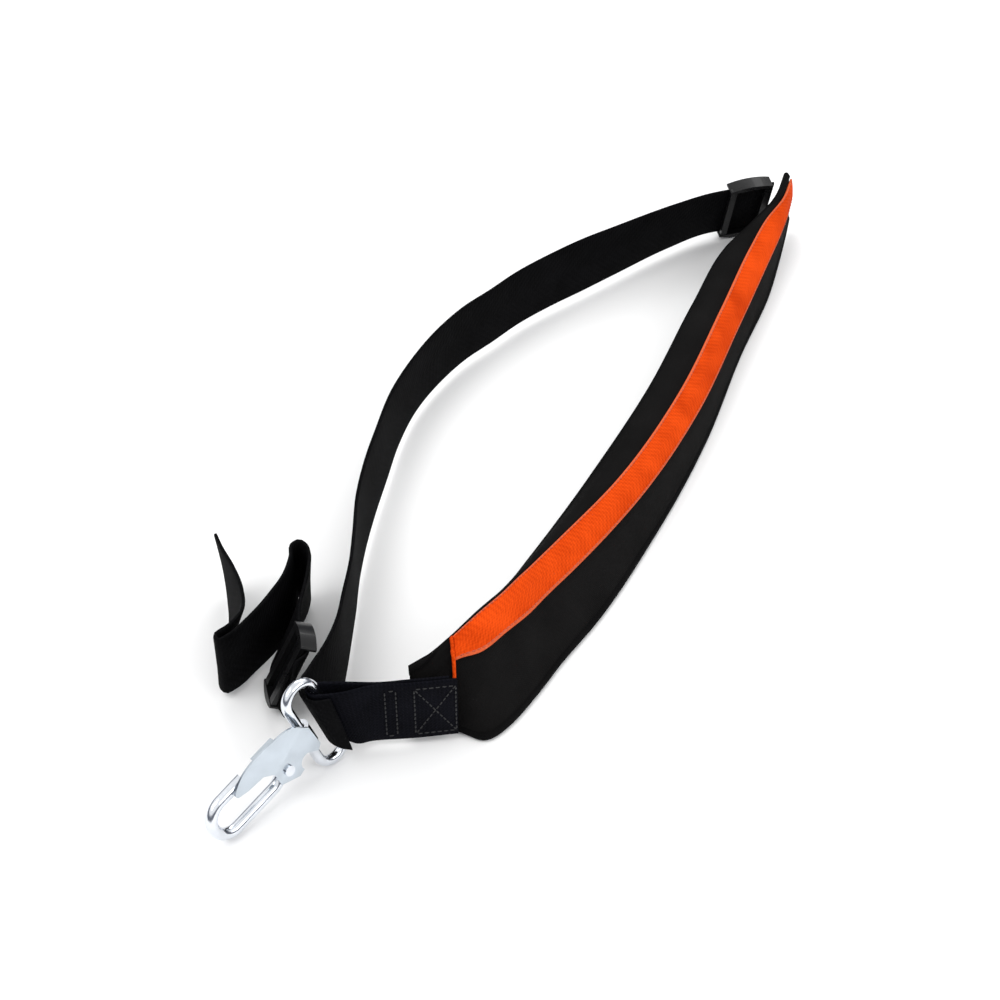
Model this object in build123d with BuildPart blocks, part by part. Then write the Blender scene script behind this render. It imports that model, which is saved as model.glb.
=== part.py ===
"""Padded shoulder strap for carrying a tool: webbing loop, pad, two sliders, eye and snap hook.

Millimetres, +Z up. The strap stands on its edges on the plane z = 0. The origin is under the
middle of the whole object's box.
"""
import math
import os

from build123d import *

os.makedirs("parts", exist_ok=True)

# ---------------------------------------------------------------- driving dimensions
ORIGIN_SHIFT = Vector(-0.1, -4.76, 0.2)   # puts the origin under the middle of the object's box

WEB_WIDTH = 38.0          # webbing, across
WEB_THICK = 1.8           # one layer of webbing
WEB_MID = 23.2            # height of the webbing's middle above the ground

STRIPE_THICK = 1.2
COVER_SHARE = 0.14        # of the pad's thickness, from the outside in
LINING_SHARE = 0.13
SKIN_GAP = 0.02           # share left open between the pad's layers
BINDING_GAP = 0.9
BINDING_REACH = 1.6
BINDING_SHOULDER = 1.3
THREAD = 0.9
THREAD_HIGH = 0.5
THREAD_LIFT = 0.6        # clears the stripe where its face twists
STITCH_INSET = 0.8

SLIDER_SPAN = 45.4        # along the webbing's width
SLIDER_DEPTH = 8.0
SLIDER_RAIL = 3.4
RAIL_DOME = 2.2           # how much thinner a rail is at its ends
SLIDER_BAR = 4.0
SLOT_CLEAR = 1.25         # from the webbing's middle to a slider's bar

EYE_LENGTH = 54.0         # oval eye, outside
EYE_WIDTH = 21.0
EYE_WIRE = 5.0
EYE_CENTRE = Vector(-105.9, -185.6, 25.8)
EYE_LEAN = 19.6           # degrees that the eye's long axis leans from upright
HOOK_SWING = 42.5         # degrees from straight ahead that the hook points

HOOK_REACH = 69.0         # eye's centre to the hook's outermost point
HOOK_WIDTH = 24.5         # outside, across the bend
HOOK_WIRE = 5.8
BARREL_RADIUS = 4.8       # the hook's barrel round the eye
BARREL_BORE = 2.8
BARREL_LENGTH = 11.0
NOSE_X = 43.0             # where the hook's nose ends, along the hook
PIVOT = (25.0, 1.5)       # gate pivot, along and across the hook
BOSS_RADIUS = 4.4
RIVET_RADIUS = 1.5
RIVET_FIT = 0.1
SHEET = 1.1               # gate's sheet metal
GATE_UNDER = -5.2         # outer face of the gate's lower cheek
SPRING_WIRE = 0.7

# ---------------------------------------------------------------- frames
lean = math.radians(EYE_LEAN)
swing = math.radians(HOOK_SWING)
EYE_AXIS = Vector(math.sin(lean), 0, -math.cos(lean))
SIDEWAYS = Vector(-math.cos(lean), 0, -math.sin(lean))
HOOK_DIR = Vector(0, -1, 0) * math.cos(swing) + SIDEWAYS * math.sin(swing)
HOOK_NORMAL = HOOK_DIR.cross(EYE_AXIS)
HOOK_PLANE = Plane(origin=EYE_CENTRE, x_dir=HOOK_DIR, z_dir=HOOK_NORMAL)
BAR_OFFSET = (EYE_WIDTH - EYE_WIRE) / 2
EYE_BAR = EYE_CENTRE - HOOK_DIR * BAR_OFFSET


def write(builder, name):
    """Labels a finished piece and writes its STEP file."""
    piece = builder.part.moved(Location(ORIGIN_SHIFT))
    piece.label = name
    export_step(piece, f"parts/{name}.step")


def skin(sections):
    """A solid through matching closed outlines, with flat ends and a triangulated side."""
    faces = [Face(Wire.make_polygon(sections[0][::-1])), Face(Wire.make_polygon(sections[-1]))]
    for low, high in zip(sections, sections[1:]):
        for i in range(len(low)):
            j = (i + 1) % len(low)
            # the far side's diagonals run the other way, so that neighbouring layers stay parallel
            if i < len(low) // 2:
                corners = [low[i], low[j], high[j]], [low[i], high[j], high[i]]
            else:
                corners = [low[i], low[j], high[i]], [low[j], high[j], high[i]]
            faces.extend(Face(Wire.make_polygon(triangle)) for triangle in corners)
    with BuildPart() as piece:
        add(Solid(Shell(faces)))
    return piece


def strap(stations):
    """A strap through its stations: x, y, the top edge's offset in x and y, width, height."""
    points = [Vector(x, y, z) for x, y, _, _, _, z in stations]
    sections = []
    for i, (_, _, top_x, top_y, width, _) in enumerate(stations):
        ahead = points[min(i + 1, len(points) - 1)] - points[max(i - 1, 0)]
        up = Vector(top_x, top_y, math.sqrt(width**2 - top_x**2 - top_y**2)).normalized()
        out = ahead.cross(up).normalized()
        corners = [(-1, -1), (1, -1), (1, 1), (-1, 1)]
        sections.append([points[i] + out * (a * WEB_THICK / 2) + up * (b * width / 2) for a, b in corners])
    return skin(sections)


def full(knots):
    """Stations of full width at the webbing's usual height."""
    return [(x, y, top_x, top_y, WEB_WIDTH, WEB_MID) for x, y, top_x, top_y in knots]


# ---------------------------------------------------------------- long webbing
# x, y, and how far the top edge stands off from the bottom edge in x and in y
main_knots = [
    (146, 238.6, 3, -9.5), (130.5, 233.8, 3, -9.5), (107, 226.5, 3, -9.5), (84, 213, 3, -7),
    (46, 186, 0, -3), (27, 172, 0, 0), (8, 157, 0, 0), (-11, 140, 0, 0), (-28, 121, 0, 0),
    (-42, 106, 0, 0), (-54, 89, 0, 0), (-70, 58, 0, 0), (-79, 31, -2, 0), (-85, 1, -3, 0),
    (-90, -27, -3, 0), (-93, -52, -2, 0), (-94, -76, 0, 0), (-94.5, -98, 0, 0), (-96, -118, -1, 0),
    (-97.5, -136, -2, 0), (-100.5, -152, -5, 0),
]
# the narrowed end goes once through the eye
main_end = [
    (-104.6, -166, -9, 0, 35, 25), (-107.2, -176, -11, 0, 34, 26), (-105.8, -183.2, -11, 0, 34, 26),
    (-100.5, -187.2, -11, 0, 34, 26), (-94, -186.4, -8, 0, 36, 25),
]
main_webbing = strap(full(main_knots) + main_end)
write(main_webbing, "main_webbing")

# the loose tail: through the near slider, back, and folded twice
tail_knots = [
    (-119.4, -164, 8, 2), (-118.7, -158, 16, 4), (-120.9, -149, 16, 4), (-124.4, -135, 16, 4),
    (-123.5, -126, 14, 3), (-119.8, -114, 9, 2), (-117, -101, 5, 1),
    (-116.3, -92, 3, 0), (-117.6, -86, 1, 0),
    (-120.6, -83.4, 0, 0), (-123.6, -85.6, 0, 0), (-123.4, -94, -1, 0), (-125, -106, -2, -1),
    (-130, -118, -2, -1), (-140, -135, 0, 0), (-148.6, -146.4, 0, 0), (-152.6, -149.2, 0, 0),
    (-155, -146.4, 1, 0), (-152, -140, 6, 0), (-149.5, -129, 12, 0), (-150, -116, 10, 0),
    (-153.5, -101, 5, 0), (-158, -88, 0, 0), (-160.5, -79, -3, 0),
]
tail_webbing = strap(full(tail_knots))
write(tail_webbing, "tail_webbing")

# ---------------------------------------------------------------- short webbing
BAR_X = EYE_BAR.X + (EYE_BAR.Z - 26) * math.tan(lean)
LOOP_RADIUS = 3.95
loop = []
for degrees in range(75, 286, 30):
    turn = math.radians(degrees)
    x, y = BAR_X + LOOP_RADIUS * math.cos(turn), EYE_BAR.Y + LOOP_RADIUS * math.sin(turn)
    loop.append((x, y, -11, 0, 33, 26.5))
short_back = [
    (-45, -172.3, 0, 0, 38, WEB_MID), (-62, -174.4, 0, 0, 38, WEB_MID), (-80, -176.2, 0, 0, 38, WEB_MID),
    (-90, -176.0, -5, 0, 36, 24.5),
]
short_front = [
    (-90, -182.0, -5, 0, 36, 24.5), (-82, -178.4, 0, 0, 38, WEB_MID), (-62, -176.5, 0, 0, 38, WEB_MID),
    (-41.5, -173.7, 0, 0, 38, WEB_MID),
]
short_webbing = strap(short_back + loop + short_front)
write(short_webbing, "short_webbing")

# ---------------------------------------------------------------- pad
# the lower edge's x and y, the bearing in degrees in which the pad lies back from it, the pad's
# thickness, and the outer face's outline: how far back, and height
pad_stations = [
    (-63, -171.9, 98, 3, [(0, 2.4), (0.5, 12), (1.1, 22), (1.7, 30), (2.4, 35), (3.2, 38.6), (4.2, 41)]),
    (-42, -170.4, 96.3, 3.6, [(0, 1.9), (3.5, 22), (9.2, 40.6), (13.8, 44.5), (18, 46.4), (20.8, 45.6), (22.6, 42.5)]),
    (-29, -175.5, 94.5, 4.6, [(0, 1.6), (9, 21), (20.6, 39.8), (30, 45), (38, 46.9), (41.4, 46), (44, 42)]),
    (-17.3, -166.5, 96, 5.4, [(0, 1.4), (12, 20), (25.2, 37.6), (34, 43.4), (42.2, 45.9), (46, 44.4), (48.6, 40)]),
    (-4.3, -147.9, 104, 6.2, [(0, 1.4), (10.5, 18), (21, 35), (30, 41.5), (37.6, 43.9), (41.5, 42.4), (44.5, 37.5)]),
    (7.2, -128.7, 114.5, 6.8, [(0, 1.4), (9.5, 16.5), (18.6, 31), (26, 37.5), (32.6, 40.6), (36.8, 39.6), (40, 35)]),
    (25, -102, 127, 7.2, [(0, 1.4), (8.8, 15.5), (16.4, 28.2), (23, 34.8), (29.5, 38), (35, 37), (39.5, 32)]),
    (59, -38, 154, 7.2, [(0, 1.4), (5.5, 14), (9.5, 25), (14.5, 31), (21, 35), (28.5, 36), (36, 32)]),
    (91, 34, 158.5, 7.2, [(0, 1.4), (3, 12), (6, 22), (11, 28), (17.5, 32), (26, 34), (34, 31)]),
    (119, 114, 160, 7, [(0, 1.4), (2, 11), (3.5, 21), (8, 27), (14.5, 31.5), (23, 33.5), (31, 30)]),
    (142, 173, 160.5, 5.6, [(0, 1.9), (2.5, 12), (4, 22), (8, 28), (15, 32), (22.5, 33), (29, 29.5)]),
    (151, 204, 164, 3.6, [(0, 2.9), (1.2, 12), (1.7, 22.5), (5, 29), (10.6, 33), (15, 33.2), (18.6, 29.6)]),
    (157, 226, 165, 2.4, [(0, 4.9), (0.5, 14), (0.8, 23), (1.8, 30), (4.2, 35), (5.8, 36.6), (7.2, 37)]),
    (161.5, 244, 165, 1.8, [(0, 6.9), (0.3, 15), (0.6, 24), (1.2, 31), (2.4, 37), (3.4, 39.4), (4.4, 40.6)]),
]


def pad_planes():
    """An upright plane across the pad at each station: x back from the lower edge, y up."""
    planes = []
    for x, y, bearing, _, _ in pad_stations:
        turn = math.radians(bearing)
        planes.append(Plane(origin=(x, y, 0), x_dir=(math.cos(turn), math.sin(turn), 0),
                            z_dir=(math.sin(turn), -math.cos(turn), 0)))
    return planes


def inward(outline, depth):
    """The outline's points moved into the pad by a depth, level at the edge it stands on."""
    moved = [(outline[0][0] + depth, outline[0][1])]
    for i, (x, y) in list(enumerate(outline))[1:]:
        ax, ay = outline[max(i - 1, 0)]
        bx, by = outline[min(i + 1, len(outline) - 1)]
        length = math.hypot(bx - ax, by - ay)
        moved.append((x + (by - ay) / length * depth, y - (bx - ax) / length * depth))
    return moved


def pad_layer(low_share, high_share, low_mm=0.0, high_mm=0.0, points=slice(None), skip=0):
    """One layer along the pad, between two depths: a share of the thickness, and millimetres."""
    sections = []
    for plane, (_, _, _, thick, outline) in list(zip(pad_planes(), pad_stations))[skip:]:
        low = inward(outline, low_share * thick + low_mm)[points]
        high = inward(outline, high_share * thick + high_mm)[points]
        sections.append([plane.from_local_coords((x, y, 0)) for x, y in low + high[::-1]])
    return skin(sections)


pad_cover = pad_layer(0, COVER_SHARE)
write(pad_cover, "pad_cover")
pad_foam = pad_layer(COVER_SHARE + SKIN_GAP, 1 - LINING_SHARE - SKIN_GAP)
write(pad_foam, "pad_foam")
pad_lining = pad_layer(1 - LINING_SHARE, 1)
write(pad_lining, "pad_lining")
pad_stripe = pad_layer(0, 0, -STRIPE_THICK - 0.1, -0.1, slice(2, 5), 1)
write(pad_stripe, "pad_stripe")


def binding(edge):
    """The tape round one edge of the pad, standing a little proud of the layers' cut edges."""
    sections = []
    for plane, (_, _, _, thick, outline) in zip(pad_planes(), pad_stations):
        front = Vector(*outline[edge], 0)
        out = Vector(0, -1, 0) if edge == 0 else (front - Vector(*outline[edge - 1], 0)).normalized()
        back = Vector(*inward(outline, thick)[edge], 0)
        corners = [front + out * BINDING_GAP, front + out * BINDING_SHOULDER,
                   (front + back) / 2 + out * BINDING_REACH, back + out * BINDING_SHOULDER,
                   back + out * BINDING_GAP]
        ordered = corners[::-1] if edge == 0 else corners
        sections.append([plane.from_local_coords(corner) for corner in ordered])
    return skin(sections)


pad_binding_upper = binding(-1)
write(pad_binding_upper, "pad_binding_upper")
pad_binding_lower = binding(0)
write(pad_binding_lower, "pad_binding_lower")


def thread_row(edge, middle):
    """A row of stitching along the stripe, just in from one of its edges."""
    sections = []
    for plane, (_, _, _, _, outline) in list(zip(pad_planes(), pad_stations))[1:]:
        raised = inward(outline, -STRIPE_THICK - THREAD_LIFT)
        start = Vector(*raised[edge], 0)
        across = (Vector(*raised[middle], 0) - start).normalized()
        out = Vector(-across.Y, across.X, 0) if middle > edge else Vector(across.Y, -across.X, 0)
        near, far = start + across * STITCH_INSET, start + across * (STITCH_INSET + THREAD)
        corners = [near, near + out * THREAD_HIGH, far + out * THREAD_HIGH, far]
        ordered = corners if middle > edge else corners[::-1]
        sections.append([plane.from_local_coords(corner) for corner in ordered])
    return skin(sections)


with BuildPart() as stripe_stitching:
    add(thread_row(2, 3).part)
    add(thread_row(4, 3).part)
write(stripe_stitching, "stripe_stitching")

# ---------------------------------------------------------------- box stitching
def stitched_box(start, end, height, length, tall, crossed):
    """A box of stitching on a webbing's front, half way from one station to the next."""
    along = (Vector(*end, 0) - Vector(*start, 0)).normalized()
    face = Vector(along.Y, -along.X, 0)
    middle = (Vector(*start, height) + Vector(*end, height)) / 2
    middle += face * (WEB_THICK / 2 + 0.05)
    with BuildPart() as piece:
        with BuildSketch(Plane(origin=middle, x_dir=along, z_dir=face)):
            Rectangle(length, tall)
            Rectangle(length - 2 * THREAD, tall - 2 * THREAD, mode=Mode.SUBTRACT)
            if crossed:
                diagonal = math.hypot(length, tall) - 1.5
                angle = math.degrees(math.atan2(tall, length))
                Rectangle(diagonal, THREAD, rotation=angle)
                Rectangle(diagonal, THREAD, rotation=-angle)
        extrude(amount=THREAD_HIGH)
    return piece


near_box_stitching = stitched_box(short_front[2][:2], short_front[3][:2], WEB_MID, 19, 31, True)
write(near_box_stitching, "near_box_stitching")
loop_stitching = stitched_box(short_front[1][:2], short_front[2][:2], WEB_MID, 5, 31, False)
write(loop_stitching, "loop_stitching")
far_box_stitching = pad_layer(1, 1, 0.1, 0.1 + THREAD_HIGH, slice(1, 4), 12)
write(far_box_stitching, "far_box_stitching")

# ---------------------------------------------------------------- sliders
def slider(plane, length):
    """A slider: two rails, two bars in front of the webbing and one behind it."""
    bar_y = length / 2 - SLIDER_BAR / 2 - 0.6
    bar_depth = SLIDER_DEPTH / 2 - SLOT_CLEAR - 0.3
    with BuildPart() as piece:
        with BuildSketch(plane):
            for side in (-1, 1):
                inner, outer = side * (SLIDER_SPAN / 2 - SLIDER_RAIL), side * SLIDER_SPAN / 2
                with BuildLine():
                    Line((inner, length / 2), (inner, -length / 2))
                    Line((inner, -length / 2), (outer - side * RAIL_DOME, -length / 2))
                    ThreePointArc((outer - side * RAIL_DOME, -length / 2), (outer, 0),
                                  (outer - side * RAIL_DOME, length / 2))
                    Line((outer - side * RAIL_DOME, length / 2), (inner, length / 2))
                make_face()
        extrude(amount=SLIDER_DEPTH / 2, both=True)
        with BuildSketch(plane.offset(SLOT_CLEAR)):
            with Locations((0, -bar_y), (0, bar_y)):
                Rectangle(SLIDER_SPAN - SLIDER_RAIL, SLIDER_BAR)
        extrude(amount=bar_depth)
        with BuildSketch(plane.offset(-SLOT_CLEAR)):
            Rectangle(SLIDER_SPAN - SLIDER_RAIL, SLIDER_BAR)
        extrude(amount=-bar_depth)
    return piece


def slider_plane(knot, along):
    """A plane in the webbing at a knot: x up its width, y along it."""
    x, y, top_x, top_y = knot
    up = Vector(top_x, top_y, math.sqrt(WEB_WIDTH**2 - top_x**2 - top_y**2)).normalized()
    return Plane(origin=(x, y, WEB_MID), x_dir=up, z_dir=up.cross(Vector(*along).normalized()))


NEAR_ALONG = (-0.243, 0.970, 0)
FAR_ALONG = (-0.955, -0.296, 0)
near_slider = slider(slider_plane(tail_knots[2], NEAR_ALONG), 18.0)
write(near_slider, "near_slider")
far_slider = slider(slider_plane(main_knots[1], FAR_ALONG), 28.0)
write(far_slider, "far_slider")

# ---------------------------------------------------------------- eye
with BuildPart() as webbing_eye:
    with BuildSketch(HOOK_PLANE):
        SlotOverall(EYE_LENGTH, EYE_WIDTH, rotation=90)
        SlotOverall(EYE_LENGTH - 2 * EYE_WIRE, EYE_WIDTH - 2 * EYE_WIRE, rotation=90, mode=Mode.SUBTRACT)
    extrude(amount=EYE_WIRE / 2, both=True)
    fillet(webbing_eye.edges(), EYE_WIRE / 2 - 0.05)
write(webbing_eye, "webbing_eye")

# ---------------------------------------------------------------- hook body
BEND_RADIUS = (HOOK_WIDTH - HOOK_WIRE) / 2
BEND_X = HOOK_REACH - HOOK_WIDTH / 2
BARREL_CENTRE = HOOK_PLANE.from_local_coords((BAR_OFFSET, 0, 0))
BARREL_PLANE = Plane(origin=BARREL_CENTRE, x_dir=HOOK_DIR, z_dir=EYE_AXIS)
PIVOT_PLANE = Plane(origin=HOOK_PLANE.from_local_coords((*PIVOT, 0)), x_dir=HOOK_DIR, z_dir=HOOK_NORMAL)
with BuildPart() as hook_body:
    with BuildLine(HOOK_PLANE) as hook_line:
        FilletPolyline((16, 1.2), (24, 3.6), (31, BEND_RADIUS), (BEND_X, BEND_RADIUS), radius=7)
        ThreePointArc((BEND_X, BEND_RADIUS), (BEND_X + BEND_RADIUS, 0), (BEND_X, -BEND_RADIUS))
        Line((BEND_X, -BEND_RADIUS), (NOSE_X, -BEND_RADIUS))
    with BuildSketch(Plane(origin=hook_line.wires()[0] @ 0, z_dir=hook_line.wires()[0] % 0)):
        Circle(HOOK_WIRE / 2)
    sweep(path=hook_line.wires()[0])
    with BuildSketch(HOOK_PLANE):
        with BuildLine():
            Polyline((BAR_OFFSET, -5.4), (13, -5.4), (22, -3), (29, -1), (29.5, 6), (22, 8), (13.5, 6.5),
                     (BAR_OFFSET, 5.4), close=True)
        make_face()
    extrude(amount=HOOK_WIRE / 2, both=True)
    with BuildSketch(PIVOT_PLANE):
        Circle(BOSS_RADIUS)
    extrude(amount=HOOK_WIRE / 2, both=True)
    with BuildSketch(BARREL_PLANE):
        Circle(BARREL_RADIUS)
    extrude(amount=BARREL_LENGTH / 2, both=True)
    with BuildSketch(BARREL_PLANE):
        Circle(BARREL_BORE)
    extrude(amount=BARREL_LENGTH, both=True, mode=Mode.SUBTRACT)
    with BuildSketch(PIVOT_PLANE):
        Circle(RIVET_RADIUS)
    extrude(amount=HOOK_WIRE, both=True, mode=Mode.SUBTRACT)
write(hook_body, "hook_body")

# ---------------------------------------------------------------- gate
RIDGE_START = (13, -9.5)      # along and across the hook
RIDGE_TURN = math.radians(21.5)
RIDGE_HIGH = 7.4
RIDGE_ALONG = HOOK_DIR * math.cos(RIDGE_TURN) + EYE_AXIS * math.sin(RIDGE_TURN)
RIDGE_ACROSS = EYE_AXIS * math.cos(RIDGE_TURN) - HOOK_DIR * math.sin(RIDGE_TURN)
ROOF_PLANE = Plane(origin=HOOK_PLANE.from_local_coords((*RIDGE_START, 0)), x_dir=RIDGE_ACROSS, z_dir=RIDGE_ALONG)
# the sheet folded along its ridge: across the ridge, and height over the hook's middle plane
fold = [(-18, 3.9), (0, RIDGE_HIGH), (20, 6.2), (20, 6.2 - SHEET), (0, RIDGE_HIGH - SHEET), (-18, 3.9 - SHEET)]
with BuildPart() as gate:
    with BuildSketch(ROOF_PLANE):
        with BuildLine():
            Polyline(*fold, close=True)
        make_face()
    extrude(amount=60, both=True)
    # the long arm to the nose, and the thumb tab below its round notch
    with BuildSketch(HOOK_PLANE):
        with BuildLine():
            Spline((10, -12), (13, -14.5), (22, -16), (31, -16.2), (40, -15), (46, -12.8), (50.5, -9.6))
            ThreePointArc((50.5, -9.6), (50.9, -8.2), (49.6, -7.2))
            Polyline((49.6, -7.2), (45, -6.4), (36, -6.2), (31.5, -3), (31.5, 5), (22, 10), (18.5, 9))
            ThreePointArc((18.5, 9), (16.6, 3.4), (11.6, 4.4))
            Polyline((11.6, 4.4), (8, 7.5), (5.5, 5), (6.5, -8), (10, -12))
        make_face()
    extrude(amount=12, mode=Mode.INTERSECT)
    # the cheek under the hook and the wall that joins it to the arm
    with BuildSketch(HOOK_PLANE.offset(GATE_UNDER)):
        with BuildLine():
            Polyline((20, -9), (33, -9), (29.5, -2), (29, 5.5), (20, 5.5), close=True)
        make_face()
    extrude(amount=SHEET)
    with BuildSketch(HOOK_PLANE.offset(GATE_UNDER)):
        with BuildLine():
            Polyline((20, -9), (33, -9), (33, -7.9), (20, -7.9), close=True)
        make_face()
    extrude(amount=5.9 - GATE_UNDER)
    with BuildSketch(PIVOT_PLANE):
        Circle(RIVET_RADIUS + RIVET_FIT)
    extrude(amount=12, both=True, mode=Mode.SUBTRACT)
write(gate, "gate")

# ---------------------------------------------------------------- rivet and spring
RIVET_TOP = 7.3
with BuildPart() as gate_rivet:
    with BuildSketch(PIVOT_PLANE.offset(GATE_UNDER - 0.3)):
        Circle(RIVET_RADIUS - 0.02)
    extrude(amount=RIVET_TOP - GATE_UNDER + 0.3)
    with BuildSketch(PIVOT_PLANE.offset(GATE_UNDER - 0.3)):
        Circle(2.6)
    extrude(amount=-1.0)
    with BuildSketch(PIVOT_PLANE.offset(RIVET_TOP)):
        Circle(2.6)
    extrude(amount=1.0)
write(gate_rivet, "gate_rivet")

SPRING_BASE = HOOK_WIRE / 2 + SPRING_WIRE / 2 + 0.12
with BuildPart() as gate_spring:
    with BuildLine() as coil:
        Helix(pitch=SPRING_WIRE + 0.1, height=0.85, radius=2.2,
              center=HOOK_PLANE.from_local_coords((*PIVOT, SPRING_BASE)), direction=HOOK_NORMAL)
    with BuildSketch(Plane(origin=coil.wires()[0] @ 0, z_dir=coil.wires()[0] % 0)):
        Circle(SPRING_WIRE / 2)
    sweep(path=coil.wires()[0])
write(gate_spring, "gate_spring")
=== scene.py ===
"""The visible model of the padded shoulder strap: webbing, soft pad, sliders, eye and snap hook."""
import math

import bmesh
import bpy
import numpy as np
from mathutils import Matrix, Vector


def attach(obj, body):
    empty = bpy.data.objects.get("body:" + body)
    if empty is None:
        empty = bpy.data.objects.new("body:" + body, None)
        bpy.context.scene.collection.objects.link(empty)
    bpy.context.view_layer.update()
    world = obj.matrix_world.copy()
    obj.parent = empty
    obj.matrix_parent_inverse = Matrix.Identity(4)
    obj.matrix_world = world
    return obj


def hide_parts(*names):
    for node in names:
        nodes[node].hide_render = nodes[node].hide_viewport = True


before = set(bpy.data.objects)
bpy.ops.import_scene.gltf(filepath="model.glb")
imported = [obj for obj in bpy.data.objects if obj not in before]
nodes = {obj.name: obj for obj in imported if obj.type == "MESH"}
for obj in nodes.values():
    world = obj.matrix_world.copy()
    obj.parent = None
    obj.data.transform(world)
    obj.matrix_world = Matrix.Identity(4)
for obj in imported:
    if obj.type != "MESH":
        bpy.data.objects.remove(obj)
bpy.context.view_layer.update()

MM = 0.001
SHIFT = np.array([-0.1, -4.76, 0.2])     # the model's origin, as in the CAD
WEB_WIDTH = 38.0
WEB_THICK = 1.8
WEB_MID = 23.2
STEP = 2.0                              # spacing of the cross-sections along a piece


# ---------------------------------------------------------------- curves
def lengths(points):
    """Distance along a line of points, at each point."""
    return np.concatenate([[0.0], np.cumsum(np.linalg.norm(np.diff(points, axis=0), axis=1))])


def curve(knots, keys, at):
    """Smooth values at the distances `at`, through knots at the distances keys."""
    gaps = np.diff(keys)[:, None]
    slopes = np.diff(knots, axis=0) / gaps
    inner = (slopes[1:] * gaps[:-1] + slopes[:-1] * gaps[1:]) / (gaps[1:] + gaps[:-1])
    tangents = np.vstack([slopes[:1], inner, slopes[-1:]])
    cell = np.clip(np.searchsorted(keys, at, side="right") - 1, 0, len(gaps) - 1)
    span = gaps[cell]
    t = (at[:, None] - keys[cell][:, None]) / span
    return (knots[cell] * (2 * t**3 - 3 * t**2 + 1) + tangents[cell] * span * (t**3 - 2 * t**2 + t)
            + knots[cell + 1] * (3 * t**2 - 2 * t**3) + tangents[cell + 1] * span * (t**3 - t**2))


def unit(vectors):
    return vectors / np.linalg.norm(vectors, axis=-1, keepdims=True)


def to_object(name, points, faces, uvs, material, subdivide=False):
    """A mesh object from points in millimetres, with a weave coordinate for each point."""
    mesh = bpy.data.meshes.new(name)
    mesh.from_pydata(((points + SHIFT) * MM).tolist(), [], faces)
    layer = mesh.uv_layers.new(name="weave")
    for loop in mesh.loops:
        layer.data[loop.index].uv = uvs[loop.vertex_index] * MM
    built = bmesh.new()
    built.from_mesh(mesh)
    bmesh.ops.recalc_face_normals(built, faces=built.faces)
    built.to_mesh(mesh)
    built.free()
    mesh.materials.append(material)
    mesh.polygons.foreach_set("use_smooth", [True] * len(mesh.polygons))
    obj = bpy.data.objects.new(name, mesh)
    bpy.context.scene.collection.objects.link(obj)
    if subdivide:
        modifier = obj.modifiers.new("Smooth", "SUBSURF")
        modifier.levels = 1
        modifier.render_levels = 1
    return obj


def tube_faces(rows, around, caps=True):
    """Faces joining closed cross-sections of the same number of points."""
    faces = []
    for i in range(rows - 1):
        for j in range(around):
            k = (j + 1) % around
            faces.append((i * around + j, i * around + k, (i + 1) * around + k, (i + 1) * around + j))
    if caps:
        faces.append(tuple(range(around))[::-1])
        faces.append(tuple((rows - 1) * around + j for j in range(around)))
    return faces


# ---------------------------------------------------------------- materials
def shader(name):
    """A new material, its node tree and its main shader."""
    material = bpy.data.materials.new(name)
    material.use_nodes = True
    tree = material.node_tree
    return material, tree, tree.nodes["Principled BSDF"]


def node(tree, kind, **values):
    made = tree.nodes.new(kind)
    for key, value in values.items():
        if key in made.inputs.keys():
            made.inputs[key].default_value = value
        else:
            setattr(made, key, value)
    return made


def math_node(tree, operation, a, b=0.0):
    made = tree.nodes.new("ShaderNodeMath")
    made.operation = operation
    for socket, value in zip(made.inputs, (a, b)):
        if isinstance(value, (int, float)):
            socket.default_value = value
        else:
            tree.links.new(value, socket)
    return made.outputs[0]


def ramp(tree, factor, stops):
    made = tree.nodes.new("ShaderNodeValToRGB")
    elements = made.color_ramp.elements
    while len(elements) < len(stops):
        elements.new(0.5)
    for element, (position, colour) in zip(elements, stops):
        element.position = position
        element.color = (*colour, 1)
    tree.links.new(factor, made.inputs["Fac"])
    return made.outputs["Color"]


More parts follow.
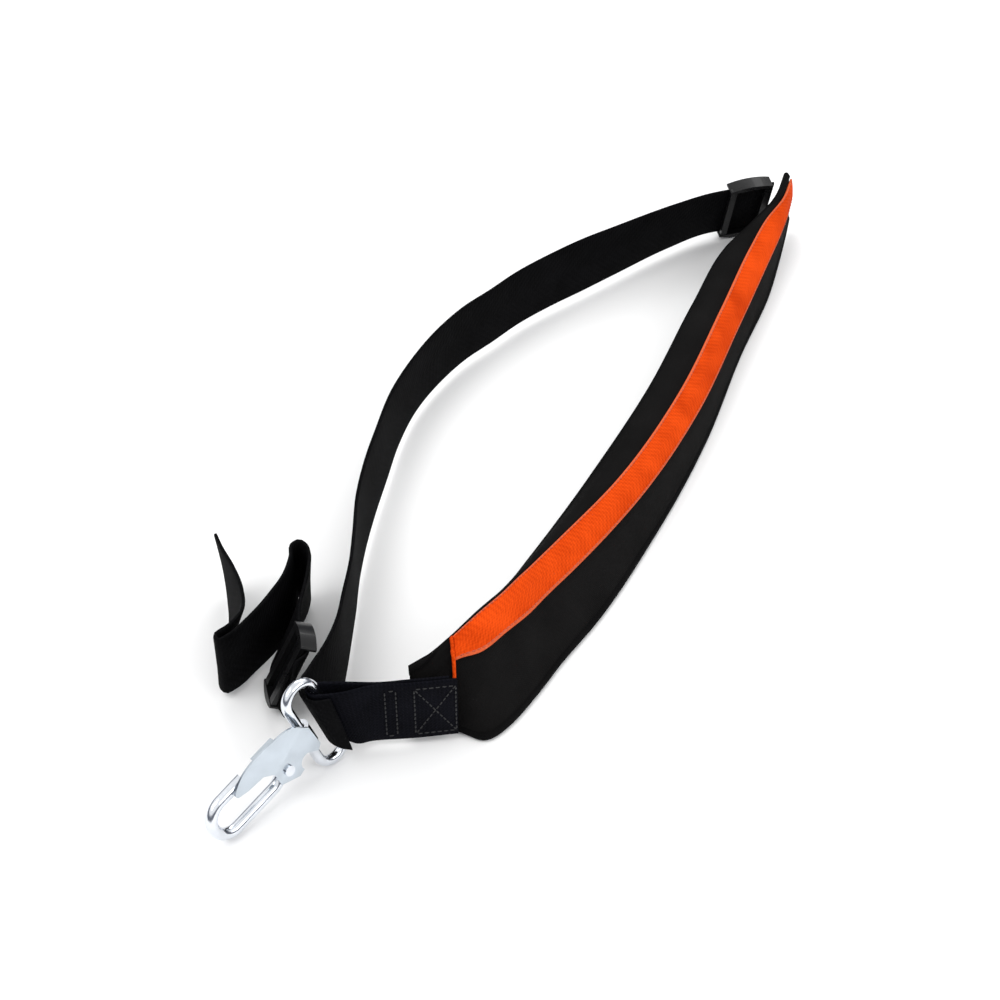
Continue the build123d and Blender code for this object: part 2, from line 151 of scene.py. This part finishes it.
def webbing_material(name, dark, light, ribs, twill, painted_edge_highlight=None, roughness=0.75, strength=0.5):
    """Woven webbing: ribs across, a slanted twill, and, when one is given, a painted highlight in a paler
    colour along both edges.
    """
    material, tree, main = shader(name)
    links = tree.links
    split = node(tree, "ShaderNodeSeparateXYZ")
    links.new(node(tree, "ShaderNodeUVMap", uv_map="weave").outputs[0], split.inputs[0])
    along, across = split.outputs[0], split.outputs[1]
    rib = math_node(tree, "SINE", math_node(tree, "MULTIPLY", along, 2 * math.pi / ribs))
    slant = math_node(tree, "ADD", along, math_node(tree, "ABSOLUTE", across))
    herring = math_node(tree, "SINE", math_node(tree, "MULTIPLY", slant, 2 * math.pi / twill))
    warp = math_node(tree, "SINE", math_node(tree, "MULTIPLY", across, 2 * math.pi / 0.0011))
    half_rib, half_herring = math_node(tree, "MULTIPLY", rib, 0.5), math_node(tree, "MULTIPLY", herring, 0.5)
    woven = math_node(tree, "ADD", half_rib, half_herring)
    woven = math_node(tree, "ADD", woven, math_node(tree, "MULTIPLY", warp, 0.35))
    place = node(tree, "ShaderNodeTexCoord").outputs["Object"]
    cloud = node(tree, "ShaderNodeTexNoise", Scale=60.0, Detail=3.0)
    fuzz = node(tree, "ShaderNodeTexNoise", Scale=1800.0, Detail=2.0)
    links.new(place, cloud.inputs["Vector"])
    links.new(place, fuzz.inputs["Vector"])
    tone = math_node(tree, "ADD", math_node(tree, "MULTIPLY", woven, 0.16), cloud.outputs["Fac"])
    tone = math_node(tree, "ADD", tone, math_node(tree, "MULTIPLY", fuzz.outputs["Fac"], 0.2))
    colour = ramp(tree, tone, [(0.3, dark), (0.85, light)])
    # painted highlight: a paler colour mixed in along both edges, standing in for the light that the rounded
    # edges catch
    if painted_edge_highlight:
        edge = math_node(tree, "GREATER_THAN", math_node(tree, "ABSOLUTE", across), painted_edge_highlight[0])
        mix = node(tree, "ShaderNodeMix", data_type="RGBA")
        links.new(edge, mix.inputs["Factor"])
        links.new(colour, mix.inputs["A"])
        mix.inputs["B"].default_value = (*painted_edge_highlight[1], 1)
        colour = mix.outputs["Result"]
    links.new(colour, main.inputs["Base Color"])
    bump = node(tree, "ShaderNodeBump", Strength=strength, Distance=0.0003)
    links.new(math_node(tree, "ADD", woven, fuzz.outputs["Fac"]), bump.inputs["Height"])
    links.new(bump.outputs[0], main.inputs["Normal"])
    main.inputs["Roughness"].default_value = roughness
    main.inputs["Specular IOR Level"].default_value = 0.03
    return material


def cloth_material(name, dark, light, thread=0.0009, roughness=0.85):
    """Plain woven cloth, with soft creases."""
    material, tree, main = shader(name)
    links = tree.links
    split = node(tree, "ShaderNodeSeparateXYZ")
    links.new(node(tree, "ShaderNodeUVMap", uv_map="weave").outputs[0], split.inputs[0])
    turns = 2 * math.pi / thread
    weft = math_node(tree, "SINE", math_node(tree, "MULTIPLY", split.outputs[0], turns))
    warp = math_node(tree, "SINE", math_node(tree, "MULTIPLY", split.outputs[1], turns))
    woven = math_node(tree, "MULTIPLY", weft, warp)
    place = node(tree, "ShaderNodeTexCoord").outputs["Object"]
    cloud = node(tree, "ShaderNodeTexNoise", Scale=35.0, Detail=4.0)
    fuzz = node(tree, "ShaderNodeTexNoise", Scale=1500.0, Detail=2.0)
    links.new(place, cloud.inputs["Vector"])
    links.new(place, fuzz.inputs["Vector"])
    tone = math_node(tree, "ADD", math_node(tree, "MULTIPLY", woven, 0.12), cloud.outputs["Fac"])
    tone = math_node(tree, "ADD", tone, math_node(tree, "MULTIPLY", fuzz.outputs["Fac"], 0.2))
    links.new(ramp(tree, tone, [(0.3, dark), (0.85, light)]), main.inputs["Base Color"])
    bump = node(tree, "ShaderNodeBump", Strength=0.4, Distance=0.0003)
    links.new(math_node(tree, "ADD", woven, fuzz.outputs["Fac"]), bump.inputs["Height"])
    crease = node(tree, "ShaderNodeBump", Strength=0.35, Distance=0.0015)
    links.new(cloud.outputs["Fac"], crease.inputs["Height"])
    links.new(bump.outputs[0], crease.inputs["Normal"])
    links.new(crease.outputs[0], main.inputs["Normal"])
    main.inputs["Roughness"].default_value = roughness
    main.inputs["Specular IOR Level"].default_value = 0.06
    return material


def hard_material(name, colour, metallic, roughness, grain, coat=0.0):
    """Plated metal or moulded plastic: fine unevenness in its gloss and surface."""
    material, tree, main = shader(name)
    links = tree.links
    place = node(tree, "ShaderNodeTexCoord").outputs["Object"]
    broad = node(tree, "ShaderNodeTexNoise", Scale=90.0, Detail=4.0)
    fine = node(tree, "ShaderNodeTexNoise", Scale=1400.0, Detail=2.0)
    links.new(place, broad.inputs["Vector"])
    links.new(place, fine.inputs["Vector"])
    low = tuple(c * 0.82 for c in colour)
    links.new(ramp(tree, broad.outputs["Fac"], [(0.35, low), (0.65, colour)]), main.inputs["Base Color"])
    gloss = math_node(tree, "MULTIPLY", broad.outputs["Fac"], roughness)
    links.new(math_node(tree, "ADD", gloss, roughness / 2), main.inputs["Roughness"])
    bump = node(tree, "ShaderNodeBump", Strength=grain, Distance=0.0002)
    links.new(fine.outputs["Fac"], bump.inputs["Height"])
    links.new(bump.outputs[0], main.inputs["Normal"])
    main.inputs["Metallic"].default_value = metallic
    main.inputs["Coat Weight"].default_value = coat
    main.inputs["Specular IOR Level"].default_value = 0.5 if metallic else 0.2
    return material


def thread_material(name, dark, light):
    """Twisted sewing thread."""
    material, tree, main = shader(name)
    place = node(tree, "ShaderNodeTexCoord").outputs["Object"]
    noise = node(tree, "ShaderNodeTexNoise", Scale=2500.0, Detail=2.0)
    tree.links.new(place, noise.inputs["Vector"])
    tree.links.new(ramp(tree, noise.outputs["Fac"], [(0.35, dark), (0.65, light)]), main.inputs["Base Color"])
    main.inputs["Roughness"].default_value = 0.6
    return material


WEBBING = webbing_material("webbing", (0.0016, 0.0016, 0.0018), (0.0042, 0.0042, 0.0048), 0.0016, 0.0042,
                           strength=0.3)
SHORT = webbing_material("ribbed_webbing", (0.0018, 0.0019, 0.0030), (0.0050, 0.0052, 0.0080), 0.0019, 0.0019)
# the orange webbing's paler edges are a painted highlight, not a woven selvedge
ORANGE = webbing_material("orange_webbing", (0.48, 0.036, 0.0016), (0.76, 0.072, 0.0055), 0.0017, 0.0034,
                          painted_edge_highlight=(0.0066, (0.66, 0.115, 0.040)), roughness=0.8, strength=0.3)
COVER = cloth_material("cover_cloth", (0.0026, 0.0024, 0.0024), (0.0070, 0.0066, 0.0066))
TAPE = cloth_material("binding_tape", (0.0016, 0.0015, 0.0016), (0.0045, 0.0043, 0.0045), 0.0014)
BLACK_THREAD = thread_material("black_thread", (0.003, 0.003, 0.0035), (0.009, 0.009, 0.010))
ORANGE_THREAD = thread_material("orange_thread", (0.36, 0.040, 0.006), (0.60, 0.085, 0.02))
PLASTIC = hard_material("black_plastic", (0.006, 0.006, 0.0065), 0.0, 0.3, 0.05, coat=0.15)
ZINC = hard_material("bright_zinc", (0.80, 0.83, 0.88), 1.0, 0.16, 0.06)
GATE_ZINC = hard_material("bright_zinc_sheet", (0.60, 0.66, 0.72), 1.0, 0.20, 0.08)
SPRING_STEEL = hard_material("spring_steel", (0.45, 0.45, 0.46), 1.0, 0.30, 0.05)


# ---------------------------------------------------------------- webbing
def full(knots):
    """Stations of full width at the webbing's usual height."""
    return [(x, y, top_x, top_y, WEB_WIDTH, WEB_MID) for x, y, top_x, top_y in knots]


PROFILE = [(-1, 0.35), (-0.985, 0.8), (-0.93, 1.0), (-0.6, 0.94), (-0.2, 0.92), (0.2, 0.92), (0.6, 0.94),
           (0.93, 1.0), (0.985, 0.8), (1, 0.35)]


def ribbon(name, stations, material, replaced):
    """A webbing strap through its stations: x, y, the top edge's offset in x and y, width, height."""
    data = np.array(stations, float)
    keys = lengths(data[:, [0, 1, 5]])
    at = np.linspace(0, keys[-1], int(keys[-1] / STEP) + 1)
    rows = curve(data, keys, at)
    centre = rows[:, [0, 1, 5]]
    ahead = unit(np.gradient(centre, at, axis=0))
    tilt = np.sqrt(rows[:, 4]**2 - rows[:, 2]**2 - rows[:, 3]**2)
    up = unit(np.column_stack([rows[:, 2], rows[:, 3], tilt]))
    out = unit(np.cross(ahead, up))
    profile = PROFILE + [(v, -w) for v, w in reversed(PROFILE)]
    points, uvs = [], []
    for v, w in profile:
        points.append(centre + up * (v * rows[:, 4:5] / 2) + out * (w * WEB_THICK / 2))
        uvs.append(np.column_stack([at, v * rows[:, 4] / 2]))
    points = np.stack(points, axis=1).reshape(-1, 3)
    uvs = np.stack(uvs, axis=1).reshape(-1, 2)
    obj = to_object(name, points, tube_faces(len(at), len(profile)), uvs, material)
    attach(obj, "strap")
    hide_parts(replaced)
    return obj


main_knots = [
    (146, 238.6, 3, -9.5), (130.5, 233.8, 3, -9.5), (107, 226.5, 3, -9.5), (84, 213, 3, -7),
    (46, 186, 0, -3), (27, 172, 0, 0), (8, 157, 0, 0), (-11, 140, 0, 0), (-28, 121, 0, 0),
    (-42, 106, 0, 0), (-54, 89, 0, 0), (-70, 58, 0, 0), (-79, 31, -2, 0), (-85, 1, -3, 0),
    (-90, -27, -3, 0), (-93, -52, -2, 0), (-94, -76, 0, 0), (-94.5, -98, 0, 0), (-96, -118, -1, 0),
    (-97.5, -136, -2, 0), (-100.5, -152, -5, 0),
]
main_end = [
    (-104.6, -166, -9, 0, 35, 25), (-107.2, -176, -11, 0, 34, 26), (-105.8, -183.2, -11, 0, 34, 26),
    (-100.5, -187.2, -11, 0, 34, 26), (-94, -186.4, -8, 0, 36, 25),
]
ribbon("long_webbing", full(main_knots) + main_end, WEBBING, "main_webbing")

tail_knots = [
    (-119.4, -164, 8, 2), (-118.7, -158, 16, 4), (-120.9, -149, 16, 4), (-124.4, -135, 16, 4),
    (-123.5, -126, 14, 3), (-119.8, -114, 9, 2), (-117, -101, 5, 1), (-116.3, -92, 3, 0),
    (-117.6, -86, 1, 0), (-120.6, -83.4, 0, 0), (-123.6, -85.6, 0, 0), (-123.4, -94, -1, 0),
    (-125, -106, -2, -1), (-130, -118, -2, -1), (-140, -135, 0, 0), (-148.6, -146.4, 0, 0),
    (-152.6, -149.2, 0, 0), (-155, -146.4, 1, 0), (-152, -140, 6, 0), (-149.5, -129, 12, 0),
    (-150, -116, 10, 0), (-153.5, -101, 5, 0), (-158, -88, 0, 0), (-160.5, -79, -3, 0),
]
ribbon("loose_tail", full(tail_knots), WEBBING, "tail_webbing")

EYE_CENTRE = np.array([-105.9, -185.6, 25.8])
EYE_LEAN = math.radians(19.6)
HOOK_SWING = math.radians(42.5)
BAR_OFFSET = 8.0
SIDEWAYS = np.array([-math.cos(EYE_LEAN), 0, -math.sin(EYE_LEAN)])
HOOK_DIR = np.array([0, -1, 0]) * math.cos(HOOK_SWING) + SIDEWAYS * math.sin(HOOK_SWING)
EYE_BAR = EYE_CENTRE - HOOK_DIR * BAR_OFFSET
LOOP_RADIUS = 3.95
bar_x = EYE_BAR[0] + (EYE_BAR[2] - 26) * math.tan(EYE_LEAN)
loop = []
for degrees in range(75, 286, 30):
    turn = math.radians(degrees)
    loop_x, loop_y = bar_x + LOOP_RADIUS * math.cos(turn), EYE_BAR[1] + LOOP_RADIUS * math.sin(turn)
    loop.append((loop_x, loop_y, -11, 0, 33, 26.5))
short_back = [
    (-45, -172.3, 0, 0, 38, WEB_MID), (-62, -174.4, 0, 0, 38, WEB_MID), (-80, -176.2, 0, 0, 38, WEB_MID),
    (-90, -176.0, -5, 0, 36, 24.5),
]
short_front = [
    (-90, -182.0, -5, 0, 36, 24.5), (-82, -178.4, 0, 0, 38, WEB_MID), (-62, -176.5, 0, 0, 38, WEB_MID),
    (-41.5, -173.7, 0, 0, 38, WEB_MID),
]
ribbon("doubled_webbing", short_back + loop + short_front, SHORT, "short_webbing")

# ---------------------------------------------------------------- pad
# the lower edge's x and y, the bearing in degrees in which the pad lies back from it, the pad's
# thickness, and the outer face's outline: how far back, and height
pad_stations = [
    (-63, -171.9, 98, 3, [(0, 2.4), (0.5, 12), (1.1, 22), (1.7, 30), (2.4, 35), (3.2, 38.6), (4.2, 41)]),
    (-42, -170.4, 96.3, 3.6,
     [(0, 1.9), (3.5, 22), (9.2, 40.6), (13.8, 44.5), (18, 46.4), (20.8, 45.6), (22.6, 42.5)]),
    (-29, -175.5, 94.5, 4.6, [(0, 1.6), (9, 21), (20.6, 39.8), (30, 45), (38, 46.9), (41.4, 46), (44, 42)]),
    (-17.3, -166.5, 96, 5.4,
     [(0, 1.4), (12, 20), (25.2, 37.6), (34, 43.4), (42.2, 45.9), (46, 44.4), (48.6, 40)]),
    (-4.3, -147.9, 104, 6.2,
     [(0, 1.4), (10.5, 18), (21, 35), (30, 41.5), (37.6, 43.9), (41.5, 42.4), (44.5, 37.5)]),
    (7.2, -128.7, 114.5, 6.8,
     [(0, 1.4), (9.5, 16.5), (18.6, 31), (26, 37.5), (32.6, 40.6), (36.8, 39.6), (40, 35)]),
    (25, -102, 127, 7.2, [(0, 1.4), (8.8, 15.5), (16.4, 28.2), (23, 34.8), (29.5, 38), (35, 37), (39.5, 32)]),
    (59, -38, 154, 7.2, [(0, 1.4), (5.5, 14), (9.5, 25), (14.5, 31), (21, 35), (28.5, 36), (36, 32)]),
    (91, 34, 158.5, 7.2, [(0, 1.4), (3, 12), (6, 22), (11, 28), (17.5, 32), (26, 34), (34, 31)]),
    (119, 114, 160, 7, [(0, 1.4), (2, 11), (3.5, 21), (8, 27), (14.5, 31.5), (23, 33.5), (31, 30)]),
    (142, 173, 160.5, 5.6, [(0, 1.9), (2.5, 12), (4, 22), (8, 28), (15, 32), (22.5, 33), (29, 29.5)]),
    (151, 204, 164, 3.6, [(0, 2.9), (1.2, 12), (1.7, 22.5), (5, 29), (10.6, 33), (15, 33.2), (18.6, 29.6)]),
    (157, 226, 165, 2.4, [(0, 4.9), (0.5, 14), (0.8, 23), (1.8, 30), (4.2, 35), (5.8, 36.6), (7.2, 37)]),
    (161.5, 244, 165, 1.8, [(0, 6.9), (0.3, 15), (0.6, 24), (1.2, 31), (2.4, 37), (3.4, 39.4), (4.4, 40.6)]),
]


def inward(outline, depth):
    """The outline's points moved into the pad by a depth, level at the edge it stands on."""
    points = np.array(outline, float)
    ahead = unit(np.vstack([points[1] - points[0], points[2:] - points[:-2], points[-1] - points[-2]]))
    moved = points + np.column_stack([ahead[:, 1], -ahead[:, 0]]) * depth
    moved[0] = points[0] + [depth, 0]
    return moved


def pad_control(depth_share):
    """Control points of one face of the pad: a row for each station."""
    control = []
    for x, y, bearing, thick, outline in pad_stations:
        turn = math.radians(bearing)
        moved = inward(outline, thick * depth_share)
        away_x, away_y = math.cos(turn), math.sin(turn)
        control.append([(x + away_x * back, y + away_y * back, height) for back, height in moved])
    return np.array(control)


OUTER, INNER = pad_control(0.0), pad_control(1.0)
PAD_KEYS = lengths(OUTER[:, 3])


def lattice(control, at, across):
    """Points on a smooth face: distances along it, and places across it from 0 to 6."""
    rows = curve(control.reshape(len(control), -1), PAD_KEYS, at).reshape(len(at), 7, 3)
    columns = curve(rows.transpose(1, 0, 2).reshape(7, -1), np.arange(7.0), across)
    return columns.reshape(len(across), len(at), 3).transpose(1, 0, 2)


def face_normals(at, across):
    """Outward normals of the pad's outer face."""
    points = lattice(OUTER, at, across)
    ahead, behind = np.clip(at + 0.5, 0, PAD_KEYS[-1]), np.clip(at - 0.5, 0, PAD_KEYS[-1])
    fine_along = lattice(OUTER, ahead, across) - lattice(OUTER, behind, across)
    upper, lower = np.clip(across + 0.05, 0, 6), np.clip(across - 0.05, 0, 6)
    fine_across = lattice(OUTER, at, upper) - lattice(OUTER, at, lower)
    normals = unit(np.cross(fine_along, fine_across))
    inside = lattice(INNER, at, across) - points
    return normals * -np.sign(np.sum(normals * inside, axis=-1, keepdims=True))


PAD_ROWS = np.linspace(0, PAD_KEYS[-1], int(PAD_KEYS[-1] / 2.4) + 1)
PAD_ACROSS = np.concatenate([np.linspace(0, 2, 9), np.linspace(2, 4, 8)[1:], np.linspace(4, 6, 9)[1:]])
SEAM_LOW, SEAM_HIGH = 2.0, 4.0


def sink(across):
    """How far the cover is drawn in beside the stripe's seams, in millimetres."""
    return 0.5 * (np.exp(-((across - SEAM_LOW) / 0.13)**2) + np.exp(-((across - SEAM_HIGH) / 0.13)**2))


def soften(obj, pinned, cap, frames=20):
    """Puffs the pad out between its seams with a short cloth simulation."""
    group = obj.vertex_groups.new(name="seams")
    group.add([int(i) for i in np.nonzero(pinned)[0]], 1.0, "REPLACE")
    before = np.array([vertex.co[:] for vertex in obj.data.vertices])
    obj.modifiers["Smooth"].show_viewport = False
    cloth = obj.modifiers.new("Cloth", "CLOTH")
    cloth.settings.vertex_group_mass = "seams"
    cloth.settings.use_pressure = True
    cloth.settings.uniform_pressure_force = 4.0
    cloth.settings.quality = 5
    cloth.settings.effector_weights.gravity = 0.0
    cloth.point_cache.frame_start = 1
    cloth.point_cache.frame_end = frames
    scene = bpy.context.scene
    for number in range(1, frames + 1):
        scene.frame_set(number)
    result = obj.evaluated_get(bpy.context.evaluated_depsgraph_get()).to_mesh()
    after = np.array([vertex.co[:] for vertex in result.vertices])
    obj.modifiers.remove(cloth)
    obj.modifiers["Smooth"].show_viewport = True
    scene.frame_set(1)
    moved = after - before
    far = np.linalg.norm(moved, axis=1, keepdims=True)
    moved *= np.minimum(1.0, cap * MM / np.maximum(far, 1e-9))
    obj.data.vertices.foreach_set("co", (before + moved).ravel())
    obj.data.update()


def make_pad():
    """The foam in its cover, as one soft closed form."""
    outer = lattice(OUTER, PAD_ROWS, PAD_ACROSS)
    normals = face_normals(PAD_ROWS, PAD_ACROSS)
    outer = outer - normals * sink(PAD_ACROSS)[None, :, None]
    inner = lattice(INNER, PAD_ROWS, PAD_ACROSS)
    inner = inner + (outer - inner) * 0.08
    ring = np.concatenate([outer, inner[:, ::-1]], axis=1)
    width = len(PAD_ACROSS)
    across = np.concatenate([PAD_ACROSS, 12.5 - PAD_ACROSS[::-1]]) * 8.0
    uvs = np.stack(np.broadcast_arrays(PAD_ROWS[:, None], across[None, :]), axis=-1).reshape(-1, 2)
    obj = to_object("soft_pad", ring.reshape(-1, 3), tube_faces(len(PAD_ROWS), 2 * width), uvs, COVER, True)
    held = np.zeros((len(PAD_ROWS), 2 * width), bool)
    held[:, :width] |= (PAD_ACROSS >= SEAM_LOW - 0.01) & (PAD_ACROSS <= SEAM_HIGH + 0.01)
    held[:, [0, width - 1, width, -1]] = True
    held[:4] = True
    held[-6:] = True
    soften(obj, held.ravel(), 1.8)
    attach(obj, "strap")
    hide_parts("pad_cover", "pad_foam", "pad_lining")


make_pad()


STRIPE_HALF = 7.8
ROLL_RADIUS = 1.15                      # thickness of the stripe's folded end, at its top
ROLL_TAPER = 0.35
ROLL_LENGTH = 30.0
ROLL_PLACES = (4.0, 1.35)               # where it starts and ends across the pad


def stripe_roll():
    """The stripe's near end, folded into a thin roll that runs down the pad."""
    down = np.linspace(*ROLL_PLACES, 24)
    start = np.array([PAD_KEYS[1] - 0.6])
    out = face_normals(start, down)[0]
    spine = lattice(OUTER, start, down)[0] + out
    side = unit(lattice(OUTER, start + 2.0, down)[0] - lattice(OUTER, start, down)[0])
    turn = np.linspace(0, 2 * math.pi, 9)[:-1]
    size = (ROLL_RADIUS - ROLL_TAPER * np.linspace(0, 1, len(down)) ** 2)[:, None, None]
    cosines, sines = np.cos(turn)[None, :, None], np.sin(turn)[None, :, None]
    roll = spine[:, None] + size * (side[:, None] * cosines + out[:, None] * sines)
    length = np.linspace(0, ROLL_LENGTH, len(down))
    uvs = np.stack(np.broadcast_arrays(length[:, None], turn[None, :]), axis=-1).reshape(-1, 2)
    return roll, uvs


def make_stripe():
    """The orange webbing along the pad."""
    at = np.linspace(PAD_KEYS[1], PAD_KEYS[-1], int((PAD_KEYS[-1] - PAD_KEYS[1]) / STEP) + 1)
    shares = np.array([v for v, _ in PROFILE])
    heights = np.array([w for _, w in PROFILE])
    across = 3.0 + shares
    base = lattice(OUTER, at, across)
    normals = face_normals(at, across)
    top = base + normals * (0.1 + 1.2 * heights)[None, :, None]
    bottom = base + normals * 0.05
    ring = np.concatenate([top, bottom[:, ::-1]], axis=1)
    spread = np.concatenate([shares, shares[::-1]]) * STRIPE_HALF
    uvs = np.stack(np.broadcast_arrays(at[:, None], spread[None, :]), axis=-1).reshape(-1, 2)
    faces = tube_faces(len(at), 2 * len(shares))
    roll, roll_uvs = stripe_roll()
    first = ring.shape[0] * ring.shape[1]
    faces += [tuple(first + corner for corner in face) for face in tube_faces(*roll.shape[:2])]
    points = np.concatenate([ring.reshape(-1, 3), roll.reshape(-1, 3)])
    obj = to_object("orange_stripe", points, faces, np.concatenate([uvs, roll_uvs]), ORANGE)
    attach(obj, "strap")
    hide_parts("pad_stripe")


make_stripe()


def make_binding(name, place, replaced):
    """The tape folded round one edge of the pad."""
    at = PAD_ROWS
    outer = lattice(OUTER, at, np.array([place]))[:, 0]
    inner = lattice(INNER, at, np.array([place]))[:, 0]
    beside = lattice(OUTER, at, np.array([abs(place - 0.4)]))[:, 0]
    through = inner - outer
    thick = np.linalg.norm(through, axis=1, keepdims=True)
    through = through / thick
    out = np.array([[0.0, 0.0, -1.0]]) + 0 * outer if place == 0 else unit(outer - beside)
    middle = (outer + inner) / 2
    sections = []
    for degrees in range(0, 360, 30):
        turn = math.radians(degrees)
        wide = math.copysign(abs(math.cos(turn))**0.7, math.cos(turn))
        deep = math.sin(turn)
        reach = 1.35 if deep > 0 else 3.2
        sections.append(middle + through * wide * (thick / 2 + 0.55) + out * deep * reach)
    ring = np.stack(sections, axis=1)
    around = np.arange(len(sections)) * 1.6
    uvs = np.stack(np.broadcast_arrays(at[:, None], around[None, :]), axis=-1).reshape(-1, 2)
    obj = to_object(name, ring.reshape(-1, 3), tube_faces(len(at), len(sections)), uvs, TAPE)
    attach(obj, "strap")
    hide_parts(replaced)


make_binding("upper_binding", 6, "pad_binding_upper")
make_binding("lower_binding", 0, "pad_binding_lower")


# ---------------------------------------------------------------- stitching
def stitches(name, rows, material, replaced, radius=0.4, pitch=3.0, length=2.2):
    """Short lengths of thread along rows of points with normals."""
    points, faces, around = [], [], 6
    shares = [(0.0, 0.3, -0.25), (0.15, 0.85, 0.0), (0.5, 1.0, 0.12), (0.85, 0.85, 0.0), (1.0, 0.3, -0.25)]
    for line, normals in rows:
        keys = lengths(line)
        for start in np.arange(pitch / 3, keys[-1] - length, pitch):
            at = start + np.array([share for share, _, _ in shares]) * length
            centre = np.column_stack([np.interp(at, keys, line[:, axis]) for axis in range(3)])
            up = unit(np.column_stack([np.interp(at, keys, normals[:, axis]) for axis in range(3)]))
            side = unit(np.cross(np.gradient(centre, axis=0), up))
            first = len(points)
            for i, (_, size, rise) in enumerate(shares):
                for j in range(around):
                    turn = 2 * math.pi * j / around
                    offset = side[i] * math.cos(turn) * size + up[i] * (math.sin(turn) * size * 0.8 + rise)
                    points.append(centre[i] + offset * radius)
            faces += [tuple(first + k for k in face) for face in tube_faces(len(shares), around)]
    points = np.array(points)
    obj = to_object(name, points, faces, points[:, :2], material)
    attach(obj, "strap")
    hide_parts(replaced)


def row_on_pad(place, start, end, lift):
    """A line along the pad's outer face and its normals."""
    at = np.linspace(start, end, int((end - start) / 1.5) + 2)
    across = np.array([place])
    normals = face_normals(at, across)[:, 0]
    return lattice(OUTER, at, across)[:, 0] + normals * lift, normals


STRIPE_END = PAD_KEYS[-1] - 1
stitches("stripe_thread", [row_on_pad(2.13, PAD_KEYS[1] + 2, STRIPE_END, 1.35),
                           row_on_pad(3.87, PAD_KEYS[1] + 2, STRIPE_END, 1.35)],
         ORANGE_THREAD, "stripe_stitching")


def boxed(start, end, length, tall, crossed):
    """Lines of a stitched box on a webbing's front, half way between two stations."""
    start, end = np.array([*start, WEB_MID]), np.array([*end, WEB_MID])
    along = unit(end - start)
    face = np.array([along[1], -along[0], 0])
    middle = (start + end) / 2 + face * (WEB_THICK / 2 + 0.05)
    a, b = along * length / 2, np.array([0, 0, tall / 2])
    ends = [(-a - b, a - b), (a - b, a + b), (a + b, -a + b), (-a + b, -a - b)]
    if crossed:
        ends += [(-a - b, a + b), (-a + b, a - b)]
    shares = np.linspace(0, 1, 20)[:, None]
    return [(middle + low + (high - low) * shares, np.tile(face, (20, 1))) for low, high in ends]


stitches("near_box_thread", boxed(short_front[2][:2], short_front[3][:2], 19, 31, True), BLACK_THREAD,
         "near_box_stitching")
stitches("loop_thread", boxed(short_front[1][:2], short_front[2][:2], 5, 31, False), BLACK_THREAD,
         "loop_stitching")


def far_box():
    """Rows on the pad's shoulder side, at its far end."""
    at = np.linspace(PAD_KEYS[-2] + 1, PAD_KEYS[-1] - 1, 12)
    rows = []
    for place in (1.0, 2.0, 3.0):
        across = np.array([place])
        normals = -face_normals(at, across)[:, 0]
        rows.append((lattice(INNER, at, across)[:, 0] + normals * 0.1, normals))
    return rows


stitches("far_box_thread", far_box(), BLACK_THREAD, "far_box_stitching")


# ---------------------------------------------------------------- sliders, eye and hook
def finish_node(name, material, bevel=0.0):
    """Gives a CAD node its material, and eases its edges where it is moulded."""
    obj = nodes[name]
    for slot_of_object in obj.material_slots:
        slot_of_object.material = material
    if bevel:
        modifier = obj.modifiers.new("Edges", "BEVEL")
        modifier.width = bevel * MM
        modifier.segments = 3
        modifier.limit_method = "ANGLE"
        modifier.angle_limit = math.radians(40)


finish_node("near_slider", PLASTIC, 0.6)
finish_node("far_slider", PLASTIC, 0.6)
finish_node("webbing_eye", ZINC)
finish_node("hook_body", ZINC)
finish_node("gate", GATE_ZINC, 0.25)
finish_node("gate_rivet", ZINC, 0.3)
finish_node("gate_spring", SPRING_STEEL)


# ---------------------------------------------------------------- floor, light and camera
def stage():
    """A pale floor that runs far past the object."""
    mesh = bpy.data.meshes.new("floor")
    half = 6.0
    corners = [(-half, -half, 0), (half, -half, 0), (half, half, 0), (-half, half, 0)]
    mesh.from_pydata(corners, [], [(0, 1, 2, 3)])
    material, _, main = shader("floor")
    main.inputs["Base Color"].default_value = (0.92, 0.92, 0.92, 1)
    main.inputs["Roughness"].default_value = 0.95
    main.inputs["Specular IOR Level"].default_value = 0.0
    mesh.materials.append(material)
    floor = bpy.data.objects.new("floor", mesh)
    floor.location.z = -0.0002
    bpy.context.scene.collection.objects.link(floor)


def area_light(name, place, target, size, power):
    light = bpy.data.lights.new(name, "AREA")
    light.shape = "RECTANGLE"
    light.size, light.size_y = size
    light.energy = power
    obj = bpy.data.objects.new(name, light)
    obj.location = place
    obj.rotation_euler = (Vector(target) - Vector(place)).to_track_quat("-Z", "Y").to_euler()
    bpy.context.scene.collection.objects.link(obj)


stage()
area_light("key", (-0.9, -0.6, 1.5), (0, 0, 0), (1.0, 1.0), 10)
area_light("fill", (1.2, -0.7, 1.0), (0, 0, 0), (1.2, 0.8), 8)
area_light("back", (0.1, 1.3, 1.2), (0, 0, 0), (1.6, 0.6), 10)

world = bpy.data.worlds.new("studio")
world.use_nodes = True
sky = world.node_tree
height = node(sky, "ShaderNodeSeparateXYZ")
sky.links.new(node(sky, "ShaderNodeTexCoord").outputs["Generated"], height.inputs[0])
# dark low down, so that the metal has something dark to reflect, and white above
bands = [(0.0, (0.10, 0.11, 0.13)), (0.30, (0.14, 0.15, 0.18)),
         (0.45, (1.0, 1.0, 1.0)), (0.9, (1.0, 1.0, 1.0))]
sky.links.new(ramp(sky, height.outputs[2], bands), sky.nodes["Background"].inputs["Color"])
sky.nodes["Background"].inputs["Strength"].default_value = 1.05
bpy.context.scene.world = world
bpy.context.scene.view_settings.view_transform = "Standard"

camera = bpy.data.objects.new("camera", bpy.data.cameras.new("camera"))
camera.data.lens = 65
camera.data.sensor_width = 36
camera.location = (-0.0221, -0.72176, 0.6597)
camera.rotation_euler = (math.radians(47), 0, 0)
bpy.context.scene.collection.objects.link(camera)
bpy.context.scene.camera = camera
